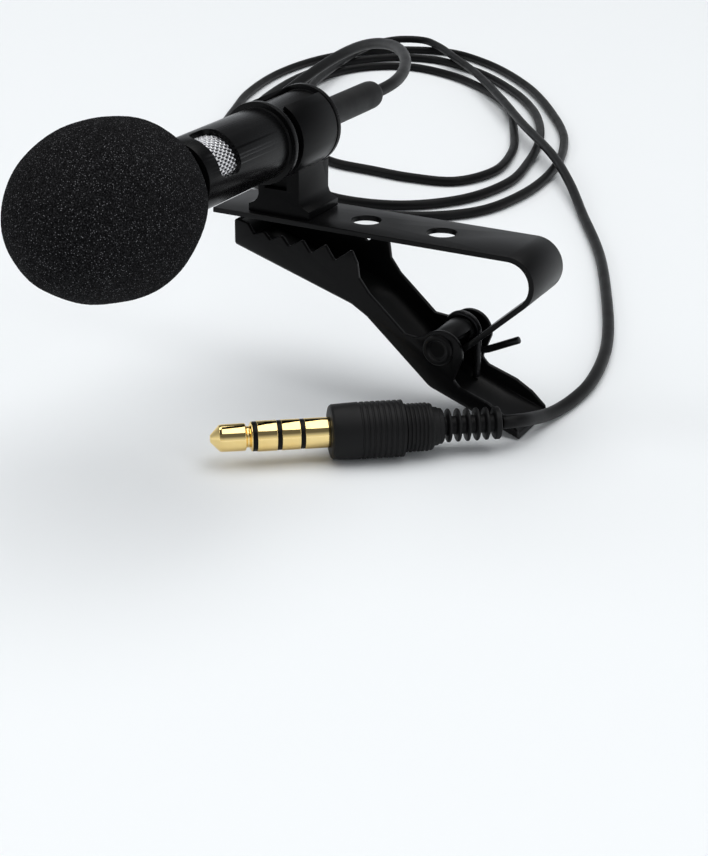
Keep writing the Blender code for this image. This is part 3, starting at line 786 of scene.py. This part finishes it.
def make_plug():
    first = INSULATOR_STARTS[0]
    tip = [(radius, first - behind) for radius, behind in TIP_WAIST] + TIP_NOSE
    made = [turned("jack_tip", tip, PLUG, 96, 0.05, "gold", "jaw", "plug_tip", crease=40)]
    ends = [*INSULATOR_STARTS[1:], PLUG_METAL]
    for index, (start, end) in enumerate(zip(INSULATOR_STARTS, ends)):
        front, rear = start + 0.01, start + INSULATOR_WIDTH
        ring = tube_profile(INSULATOR_RADIUS, INSULATOR_BORE, front, rear)
        name, node = f"jack_insulator_{index + 1}", f"plug_insulator_{index + 1}"
        made.append(turned(name, ring, PLUG, 72, 0.05, "insulation", "jaw", node, True))
        node = "plug_sleeve" if index == 2 else f"plug_ring_{index + 1}"
        name = node.replace("plug", "jack_band")
        front, rear = rear + BAND_GAP, end - BAND_GAP
        ring = tube_profile(PLUG_RADIUS, BAND_BORE, front, rear)
        made.append(turned(name, ring, PLUG, 96, 0.05, "gold", "jaw", node, True, 50))
    return made


def ribs(shape, start, pitch, count):
    return [(radius, start + pitch * index + along) for index in range(count) for radius, along in shape]


def fin(start, top, extra):
    """One round-edged fin of the strain relief, and the core on both its sides."""
    edge, end = top - 0.12, start + extra
    profile = [(FIN_CORE, start - 0.04), (FIN_FOOT, start + 0.04), (edge, start + 0.07), (top, start + 0.17)]
    return [*profile, (top, end + 0.33), (edge, end + 0.43), (FIN_FOOT, end + 0.46), (FIN_CORE, end + 0.5)]


def make_boot():
    """Moulded boot: a smooth nose, ribs on both steps, a collar and round-edged fins."""
    profile = BOOT_NOSE + ribs(WIDE_RIB, WIDE_RIBS_START, WIDE_RIB_PITCH, WIDE_RIB_COUNT)
    profile += BOOT_STEP + ribs(SLIM_RIB, SLIM_RIBS_START, SLIM_RIB_PITCH, SLIM_RIB_COUNT) + BOOT_COLLAR
    for index in range(FIN_COUNT):
        extra = LAST_FIN_EXTRA if index == FIN_COUNT - 1 else 0.0
        profile += fin(FIN_START + index * FIN_PITCH, FIN_RADIUS - FIN_TAPER * index, extra)
    profile.append((0, profile[-1][1]))
    profile = [(radius, PLUG_METAL + along) for radius, along in profile]
    return turned("boot", profile, PLUG, 96, 0.05, "rubber", "jaw", "plug_boot", crease=45)


plug_pieces = make_plug()
boot = make_boot()


# ---------------------------------------------------------------- clip

# How far the room round the eye reaches above and below the pin, and in front of it
EYE_ROOM_HALF_HEIGHT = 3.2
EYE_ROOM_FRONT = 3

# Punched wall of a hole: (added radius, height)
HOLE_WALL = [(0.2, 1), (0.12, 0.05), (0.05, -0.02), (0, -0.1), (0, -0.6), (0.03, -0.65), (0.1, -0.8)]

# The jaw's edge from its ear to its last tooth, the teeth's valleys and tips, and its front corner
EAR_FRONT = [(27.6, -11.75), (26.0, -11.6), (21.2, -7.4), (19.9, -5.7), (19.65, -4.0)]
VALLEY_Z, VALLEY_DROP = -2.6, 0.38
TIP_Z, TIP_DROP = -2.1, 0.08
JAW_FRONT_SHOULDER = (4.8, -1.35)
SOLE_BEND, LEVER_BEND, TOOTH_BEND, SOLE_EDGE = 2.2, 0.5, 0.22, 0.55

# Rivet head: (radius, depth below its own end), and how far each end stands past the strip
PIN_HEAD = [(0, 0.3), (0.9, 0.3), (1.15, 0.22), (1.25, 0.04), (1.42, 0), (1.7, 0.02), (1.88, 0.16)]
PIN_HEAD += [(PIN_HEAD_RADIUS, PIN_HEAD_THICKNESS), (PIN_RADIUS, PIN_HEAD_THICKNESS)]
PIN_END = 0.43
PIN_FIT = 0.03

JAW_ARM_STEPS = 8
COIL_STEPS = 80

# The spring's free arm in (x, z), with a soft bend where it turns up
FREE_ARM = [(31.5, -14.86), (32.5, -14.88), (33.1, -14.82), (33.6, -14.66), (34.6, -14.18)]
FREE_ARM += [(36.0, -13.49), (37.4, -12.8)]


def strip_sides():
    """The strip's two faces in (x, z), from the plate's front tip to the eye's end."""
    bend = (BEND_CENTRE_X, -STRIP_THICKNESS / 2 - BEND_RADIUS)
    across = (PIVOT_X - bend[0], PIVOT_Z - bend[1])
    heading = math.degrees(
        math.atan2(across[1], across[0]) - math.asin((BEND_RADIUS - EYE_RADIUS) / math.hypot(*across))
    )
    leg = heading + 90
    half = STRIP_THICKNESS / 2
    outer = [(0.0, 0.0)]
    inner = [(0.0, -STRIP_THICKNESS)]
    outer += arc(bend, BEND_RADIUS + half, 90, leg, 40)
    inner += arc(bend, BEND_RADIUS - half, 90, leg, 40)
    outer += arc((PIVOT_X, PIVOT_Z), EYE_RADIUS + half, leg, EYE_END_ANGLE - 360, 56)
    inner += arc((PIVOT_X, PIVOT_Z), EYE_RADIUS - half, leg, EYE_END_ANGLE - 360, 56)
    return outer, inner


def make_strip():
    outer, inner = strip_sides()
    strip = prism("strip_sheet", outer + inner[::-1], 0, STRIP_WIDTH)
    front = PIVOT_X - EYE_ROOM_FRONT
    low, top = PIVOT_Z - EYE_ROOM_HALF_HEIGHT, PIVOT_Z + EYE_ROOM_HALF_HEIGHT
    cutters = [
        block("near", (front, -1, low), (EYE_SHOULDER_X, EYE_NEAR_Y, top)),
        block("far", (front, EYE_FAR_Y, low), (EYE_SHOULDER_X, STRIP_WIDTH + 1, top)),
    ]
    strip = combine(strip, cutters, bevel=0.13, segments=3, limit=40)
    spool = [(HOLE_RADIUS + added, height) for added, height in HOLE_WALL]
    spool = [(0, spool[0][1]), *spool, (0, spool[-1][1])]
    holes = []
    for index in range(HOLE_COUNT):
        centre = axes(at(HOLE_X + index * HOLE_PITCH, STRIP_WIDTH / 2, 0), (0, 0, 1))
        holes.append(lathe("hole", spool, centre, 64, SHARP))
    strip = combine(strip, holes)
    piece("strip_sheet", strip, "clip_paint", "strip", ["clip_strip"], 40)


def jaw_rim():
    """The jaw's upper edge in (x, z), from its ear along the teeth to its front corner."""
    rim = arc(EAR_CENTRE, EAR_RADIUS, -5, 135, 24) + EAR_FRONT
    valley = FIRST_VALLEY_X
    teeth = []
    for index in range(TOOTH_COUNT):
        pitch = TOOTH_PITCH + index * TOOTH_GROWTH
        teeth.append((valley, VALLEY_Z - VALLEY_DROP * index))
        teeth.append((valley + TOOTH_TIP * pitch, TIP_Z - TIP_DROP * index))
        valley += pitch
    return [*rim, *reversed(teeth), JAW_FRONT_SHOULDER, (JAW_FRONT_X, JAW_FRONT_TOP)]


def channel_outline():
    """The hollow of the jaw in (x, z), one sheet's thickness above its sole."""
    front = JAW_FRONT_X + SHEET
    sole = []
    for (x0, z0), (x1, z1) in zip(JAW_SOLE, JAW_SOLE[1:]):
        slope = (z1 - z0) / (x1 - x0)
        sole.append((slope, z0 + SHEET * math.hypot(1, slope) - slope * x0))
    points = [(front, sole[0][0] * front + sole[0][1])]
    for (m0, c0), (m1, c1) in zip(sole, sole[1:]):
        x = (c1 - c0) / (m0 - m1)
        points.append((x, m0 * x + c0))
    end = JAW_SOLE[-1][0] + 1
    points += [(end, sole[-1][0] * end + sole[-1][1]), (end, 1), (front, 1)]
    return points


def soften(mesh, test, width, segments):
    """Round the long edges that the test picks, such as the bends of a pressed channel."""
    work = bmesh.new()
    work.from_mesh(mesh)
    chosen = [e for e in work.edges if test(e.verts[0].co, e.verts[1].co)]
    settings = {"offset": width * MM, "segments": segments, "profile": 0.5, "affect": "EDGES"}
    bmesh.ops.bevel(work, geom=chosen, clamp_overlap=True, **settings)
    work.to_mesh(mesh)
    work.free()


def on_line(points, tolerance):
    """A test for an edge that runs along a line of (x, z) plate points."""
    ends = [at(x, 0, z) for x, z in points]

    def close(co):
        for a, b in zip(ends, ends[1:]):
            flat, start, stop = (Vector((v.x, v.z)) for v in (co, a, b))
            along = stop - start
            t = max(0, min(1, (flat - start).dot(along) / along.length_squared))
            if (flat - start - along * t).length < tolerance * MM:
                return True
        return False

    return lambda a, b: abs(a.y - b.y) < 1e-6 and close(a) and close(b)


def make_jaw():
    sole = rounded(JAW_SOLE, SOLE_BEND, 5)
    rim = jaw_rim()
    lever = rounded([JAW_SOLE[-1], *reversed(LEVER_TOP), rim[0]], LEVER_BEND)[1:-1]
    teeth = rounded([lever[-1], *rim, JAW_SOLE[0]], TOOTH_BEND, 2)[1:-1]
    body = prism("jaw_channel", sole + lever + teeth, 0, STRIP_WIDTH)
    soften(body, on_line(sole, 0.03), SOLE_EDGE, 4)
    inside = prism("inside", channel_outline(), SHEET, STRIP_WIDTH - SHEET)
    bore = PIN_RADIUS + PIN_FIT
    hole = lathe("hole", [(0, 11), (bore, 11), (bore, -1), (0, -1)], PIVOT, 64, SHARP)
    jaw = combine(body, [inside, hole], bevel=0.1, segments=2, limit=35)
    piece("jaw_channel", jaw, "clip_paint", "jaw", ["clip_jaw"], 40)


def make_pin():
    near, far = -PIN_END, STRIP_WIDTH + PIN_END
    profile = [(radius, far - depth) for radius, depth in PIN_HEAD]
    profile += [(radius, near + depth) for radius, depth in reversed(PIN_HEAD)]
    turned(
        "hollow_rivet", profile, PIVOT, 96, 0.06, "clip_paint", "jaw", "pivot_pin", crease=45
    )


def make_spring():
    x, low = PIVOT_X + COIL_RADIUS, PIVOT_Z - JAW_ARM_DEPTH
    points = [(x, COIL_START_Y, low + JAW_ARM_DEPTH * i / JAW_ARM_STEPS) for i in range(JAW_ARM_STEPS)]
    for index in range(COIL_STEPS + 1):
        part = index / COIL_STEPS
        angle = math.radians(COIL_END_ANGLE * part)
        x, z = PIVOT_X + COIL_RADIUS * math.cos(angle), PIVOT_Z + COIL_RADIUS * math.sin(angle)
        points.append((x, COIL_START_Y + (COIL_END_Y - COIL_START_Y) * part, z))
    points += [(x, COIL_END_Y, z) for x, z in FREE_ARM]
    mesh = tube_mesh("spring_wire", [at(*p) for p in points], WIRE_RADIUS * MM, 20)
    piece("spring_wire", mesh, "spring_wire", "jaw", ["torsion_spring"])


# ---------------------------------------------------------------- holder and microphone

# The pedestal's flared side in (distance from its middle, z), and its front recess
FLARE = [(4.1, 0.05), (4.1, 1.0), (3.35, 1.35), (2.95, 1.75), (PEDESTAL_HALF, 2.3)]
RECESS_LOW, RECESS_HIGH = (HOLE_X - 1.9, -1, 3.2), (HOLE_X + 1.1, 2.1, 4.9)
LIP_ROOM_RADIUS, LIP_ROOM_Y = 4.95, 6.62

WINDOW_INSIDE, WINDOW_OUTSIDE = 3.2, 5.2
WINDOW_CORNER_STEPS, WINDOW_STEPS = 8, 24

# The grille's cells, and the slot in each of them: half its straight part and the radius of its ends
GRILLE_RADIUS = 3.5
GRILLE_FRONT_Y = -20.0
GRILLE_PITCH = 0.94
GRILLE_COLUMNS = 7
GRILLE_ROWS = 76
GRILLE_CREST = 0.03
SLOT_SIDES = 16
SLOT_STRAIGHT = 0.28
SLOT_END = 0.11
SLOT_DEPTH = 0.15

# Profiles of the turned pieces: (radius, distance along the axis)
LINER = [(3.28, -13.6), (3.28, -19.9), (3.15, -19.9), (3.15, -13.6)]
NECK = [(NECK_RADIUS, NECK_REAR_Y), (NECK_RADIUS, -21.6), (3.42, -21.7), (3.42, -22.0), (NECK_RADIUS, -22.1)]
NECK += [(NECK_RADIUS, NECK_FRONT_Y), (NECK_BORE, NECK_FRONT_Y), (NECK_BORE, NECK_REAR_Y)]
REAR_CAP = [(2.55, 8.4), (3.4, 8.25), (4.3, 7.53), (3.5, 7.53), (3.5, 6.3), (1.88, 6.3), (1.88, 8.4)]
SLEEVE = [(0, SLEEVE_REAR_Y), (1.0, SLEEVE_REAR_Y), (1.32, 25.42), (1.56, 25.2), (1.7, 24.85), (1.77, 24.3)]
SLEEVE += [(SLEEVE_RADIUS, 22.5), (SLEEVE_RADIUS, 6.27), (2.3, 6.27), (2.3, 5.17), (0, 5.17)]
FRONT_CAP = [(0, -32.03), (NECK_RADIUS, -32.03), (NECK_RADIUS, -32.7), (3.0, -33.2), (0, -33.2)]

# The windscreen's mouth, and its slow swell and small pits: (how often per mm, how deep in mm)
MOUTH_EDGE = 0.45
MOUTH_DEPTH = 0.5
SWELL, SWELL_SETBACK = (0.12, 0.22), 0.12
PITS = ((3.1, 0.018), (5.9, 0.022))


def make_holder():
    seat = (RING_BORE + RING_RADIUS) / 2
    spread = math.degrees(math.asin(PEDESTAL_HALF / seat))
    centre = (HOLE_X, MIC_Z)
    outline = [(HOLE_X + x, z) for x, z in FLARE]
    outline += arc(centre, seat, -90 + spread, -90 - spread, 12)
    outline += [(HOLE_X - x, z) for x, z in reversed(FLARE)]
    body = prism("ring_holder", outline, PEDESTAL_FRONT_Y, PEDESTAL_REAR_Y)
    recess = block("recess", RECESS_LOW, RECESS_HIGH)
    first, last = RING_ENDS
    ring = arc(centre, RING_RADIUS, first, last, 96) + arc(centre, RING_BORE, last, first, 96)
    lip_room = [(0, 9), (LIP_ROOM_RADIUS, 9), (LIP_ROOM_RADIUS, LIP_ROOM_Y), (0, LIP_ROOM_Y)]
    cutters = [
        recess,
        (prism("ring", ring, RING_FRONT_Y, RING_REAR_Y), "UNION"),
        lathe("lip_room", lip_room, MIC, 96, SHARP),
    ]
    mesh = combine(body, cutters, bevel=0.12, segments=3, limit=35)
    piece("ring_holder", mesh, "holder_plastic", "strip", ["holder"], 40)


def make_window_cutter(start, span):
    """A slot with round ends that runs part way round the barrel, as a closed block."""
    corner = WINDOW_CORNER
    corner_angle = math.degrees(corner / BARREL_RADIUS)
    ease = [1 - math.cos(math.pi / 2 * i / WINDOW_CORNER_STEPS) for i in range(WINDOW_CORNER_STEPS + 1)]
    straight = span - 2 * corner_angle
    angles = [start + corner_angle * part for part in ease]
    angles += [start + corner_angle + straight * i / WINDOW_STEPS for i in range(1, WINDOW_STEPS)]
    angles += [start + span - corner_angle * part for part in reversed(ease)]
    points, faces = [], []
    for angle in angles:
        inset = min(angle - start, start + span - angle)
        t = max(0.0, 1 - inset / corner_angle)
        shift = corner * (1 - math.sqrt(max(0.0, 1 - t * t)))
        front, rear = WINDOW_FRONT_Y + shift, WINDOW_REAR_Y - shift
        radial = Vector((math.cos(math.radians(angle)), 0, math.sin(math.radians(angle))))
        section = [(WINDOW_INSIDE, front), (WINDOW_OUTSIDE, front), (WINDOW_OUTSIDE, rear)]
        section.append((WINDOW_INSIDE, rear))
        points += [MIC[0] + (radial * r + Vector((0, y, 0))) * MM for r, y in section]
    for index in range(len(angles) - 1):
        base = index * 4
        faces += [[base + k, base + (k + 1) % 4, base + 4 + (k + 1) % 4, base + 4 + k] for k in range(4)]
    faces += [[0, 1, 2, 3], [len(points) - 4 + k for k in range(4)]]
    return mesh_from("window", points, faces)


def make_barrel():
    lip_end = FRONT_LIP_Y + LIP_WIDTH
    profile = [(LIP_RADIUS - 0.1, BARREL_REAR_Y), (LIP_RADIUS, BARREL_REAR_Y - 0.1), (LIP_RADIUS, REAR_LIP_Y)]
    profile += [(BARREL_RADIUS, REAR_LIP_Y), (BARREL_RADIUS, lip_end), (LIP_RADIUS, lip_end)]
    profile += [(LIP_RADIUS, FRONT_LIP_Y), (BARREL_RADIUS + 0.02, FRONT_LIP_Y), (BARREL_RADIUS, GROOVE_Y)]
    profile += [(GROOVE_RADIUS, GROOVE_Y - 0.02), (GROOVE_RADIUS, GROOVE_Y - 0.16)]
    profile += [(BARREL_RADIUS, GROOVE_Y - 0.18)]
    profile += [(BARREL_RADIUS, BARREL_FRONT_Y), (BARREL_BORE, BARREL_FRONT_Y), (BARREL_BORE, BARREL_REAR_Y)]
    shell = lathe("barrel_shell", profile, MIC, 144, 0.09, closed=True)
    windows = [make_window_cutter(start, WINDOW_SPAN) for start in (0, 180)]
    mesh = combine(shell, windows, bevel=0.07, segments=2, limit=50)
    piece("barrel_shell", mesh, "barrel_paint", "mic", ["mic_barrel"], 40)


def slot_loops(half_along, half_across):
    """Four loops of (along, across, radius) for one cell: its rim, the crest, the slot and its wall."""
    loops = [[], [], [], []]
    for k in range(SLOT_SIDES):
        c, s = math.cos(2 * math.pi * k / SLOT_SIDES), math.sin(2 * math.pi * k / SLOT_SIDES)
        big = max(abs(c), abs(s))
        u, v = c / big * half_along, s / big * half_across
        hu = SLOT_STRAIGHT * max(-1.0, min(1.0, 2 * c)) + SLOT_END * c
        hv = SLOT_END * s
        crest = ((u + hu) / 2, (v + hv) / 2, GRILLE_RADIUS + GRILLE_CREST)
        wall = (hu * 0.9, hv * 0.85, GRILLE_RADIUS - SLOT_DEPTH)
        for loop, point in zip(loops, ((u, v, GRILLE_RADIUS), crest, (hu, hv, GRILLE_RADIUS), wall)):
            loop.append(point)
    return [point for loop in loops for point in loop]


def make_grille():
    """Bright tube with narrow slots along the axis, brick-laid in rows round it, and a dark liner."""
    turn = 2 * math.pi / GRILLE_ROWS
    cell = slot_loops(GRILLE_PITCH / 2, turn * GRILLE_RADIUS / 2)
    points, faces = [], []
    for row in range(GRILLE_ROWS):
        for column in range(GRILLE_COLUMNS):
            middle_y = GRILLE_FRONT_Y + (column + 0.5 + 0.5 * (row % 2)) * GRILLE_PITCH
            for ring in range(3):
                a = len(points) + ring * SLOT_SIDES
                for k in range(SLOT_SIDES):
                    n = (k + 1) % SLOT_SIDES
                    faces.append([a + k, a + n, a + SLOT_SIDES + n, a + SLOT_SIDES + k])
            for u, v, r in cell:
                angle = row * turn + v / GRILLE_RADIUS
                radial = Vector((math.cos(angle), 0, math.sin(angle)))
                points.append(MIC[0] + (radial * r + Vector((0, middle_y + u, 0))) * MM)
    mesh = bpy.data.meshes.new("grille")
    mesh.from_pydata([tuple(p) for p in points], [], faces)
    work = bmesh.new()
    work.from_mesh(mesh)
    for face in work.faces:
        face.normal_update()
        centre = face.calc_center_median() - MIC[0]
        centre.y = 0
        if face.normal.dot(centre) < 0:
            face.normal_flip()
    work.to_mesh(mesh)
    work.free()
    piece("grille", mesh, "grille_wire", "mic", ["grille_mesh"], 60)
    piece("liner", lathe("liner", LINER, MIC, 64, 0.03, closed=True), "felt", "mic")


def make_neck_and_ends():
    turned("neck", NECK, MIC, 96, 0.06, "barrel_paint", "mic", "front_neck", True)
    turned("end_cap", REAR_CAP, MIC, 96, 0.12, "barrel_paint", "mic", "rear_cap", True)
    turned("strain_sleeve", SLEEVE, MIC, 72, 0.1, "rubber", "mic", "cable_sleeve")
    turned("nose_cap", FRONT_CAP, MIC, 72, 0.1, "barrel_paint", "mic", "front_cap")


def make_windscreen():
    """Foam ball: slightly uneven and longer than it is wide, with a pitted skin and a blind bore."""
    bore, floor = WINDSCREEN_BORE, WINDSCREEN_BORE_Y
    mouth = math.degrees(math.asin((bore + MOUTH_EDGE) / WINDSCREEN_RADIUS))
    stretch = WINDSCREEN_HALF_LENGTH / WINDSCREEN_RADIUS
    outer = arc((0, 0), WINDSCREEN_RADIUS, 90 - mouth, -90, 320)
    outer = [(radius, WINDSCREEN_Y + along * stretch) for radius, along in outer]
    outer[-1] = (0, outer[-1][1])
    wall = outer[0][1] - MOUTH_DEPTH - floor
    profile = [(0, floor), (bore, floor)] + [(bore, floor + wall * i / 20) for i in range(1, 21)]
    mesh = lathe("foam_ball", profile + outer, MIC, 400, SHARP)
    centre = MIC[0] + Vector((0, WINDSCREEN_Y, 0)) * MM
    for vertex in mesh.vertices:
        arm = vertex.co - centre
        if arm.y > 0 and math.hypot(arm.x, arm.z) < (bore + 0.1) * MM:
            continue
        way = Vector((arm.x, arm.y / stretch**2, arm.z)).normalized()
        spot = vertex.co / MM
        swell = noise.fractal(spot * SWELL[0], 0.8, 2.0, 2) * SWELL[1]
        pits = sum(noise.noise(spot * often) * deep for often, deep in PITS)
        vertex.co += way * (swell - SWELL_SETBACK + pits) * MM
    ball = piece("foam_ball", mesh, "foam", "windscreen", ["windscreen"], 180)


def dress_nodes():
    """Better materials for the CAD nodes that stay in view."""
    looks = {
        "plug_core": "insulation",
        "holder_rivet": "clip_paint",
        "capsule_seat": "rubber",
        "electret_capsule": "capsule_can",
        "capsule_board": "board",
        "front_felt": "felt",
    }
    for node, look in looks.items():
        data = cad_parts[node].data
        data.materials.clear()
        data.materials.append(MATERIALS[look])


make_strip()
make_jaw()
make_pin()
make_spring()
make_holder()
make_barrel()
make_grille()
make_neck_and_ends()
make_windscreen()
dress_nodes()


# ---------------------------------------------------------------- floor and light

# In metres; the floor lies a little below the part, so that the two don't show through each other
FLOOR_HALF = 3.0
FLOOR_DROP = 0.00005
SKY_COLOUR = (0.93, 0.96, 1.0, 1)
SKY_FADE_START, SKY_FADE_END = 0.06, 0.5
WORLD_LOW, WORLD_HIGH = 0.8, 0.14
OVERHEAD, OVERHEAD_SPREAD = 2.35, math.radians(75)
OVERHEAD_FROM = (0.02, 0.1, 0.7)
SIDE_LIGHT_TARGET = (0, 0, 0.02)


def make_floor():
    work = bmesh.new()
    bmesh.ops.create_grid(work, x_segments=8, y_segments=8, size=FLOOR_HALF)
    mesh = bpy.data.meshes.new("floor")
    work.to_mesh(mesh)
    work.free()
    floor = bpy.data.objects.new("floor", mesh)
    bpy.context.scene.collection.objects.link(floor)
    floor.location = (0, 0, cad_bounds[0][2] - FLOOR_DROP)
    mesh.materials.append(MATERIALS["floor"])


def area_light(name, place, size, power):
    data = bpy.data.lights.new(name, "AREA")
    data.shape = "RECTANGLE"
    data.size, data.size_y = size
    data.energy = power
    light = bpy.data.objects.new(name, data)
    light.location = Vector(place)
    way = Vector(SIDE_LIGHT_TARGET) - Vector(place)
    light.rotation_euler = way.to_track_quat("-Z", "Y").to_euler()
    bpy.context.scene.collection.objects.link(light)


def make_light():
    """A pale studio: bright near the horizon and dim overhead, a wide sun above and a soft box each side."""
    world = bpy.data.worlds.new("studio")
    bpy.context.scene.world = world
    world.use_nodes = True
    tree = world.node_tree
    background = tree.nodes["Background"]
    way = tree.nodes.new("ShaderNodeTexCoord")
    split = tree.nodes.new("ShaderNodeSeparateXYZ")
    fade = tree.nodes.new("ShaderNodeMapRange")
    tree.links.new(way.outputs["Generated"], split.inputs[0])
    tree.links.new(split.outputs["Z"], fade.inputs[0])
    tree.links.new(fade.outputs[0], background.inputs["Strength"])
    for index, value in ((1, SKY_FADE_START), (2, SKY_FADE_END), (3, WORLD_LOW), (4, WORLD_HIGH)):
        fade.inputs[index].default_value = value
    background.inputs["Color"].default_value = SKY_COLOUR
    overhead = bpy.data.lights.new("overhead", "SUN")
    overhead.energy = OVERHEAD
    overhead.angle = OVERHEAD_SPREAD
    lamp = bpy.data.objects.new("overhead", overhead)
    lamp.rotation_euler = Vector(OVERHEAD_FROM).to_track_quat("Z", "Y").to_euler()
    bpy.context.scene.collection.objects.link(lamp)
    area_light("left", (-0.6, -0.3, 0.5), (0.35, 0.35), 1.15)
    area_light("right", (0.65, -0.1, 0.4), (0.2, 0.5), 0.85)


make_floor()
make_light()
bpy.context.scene.view_settings.view_transform = "Standard"
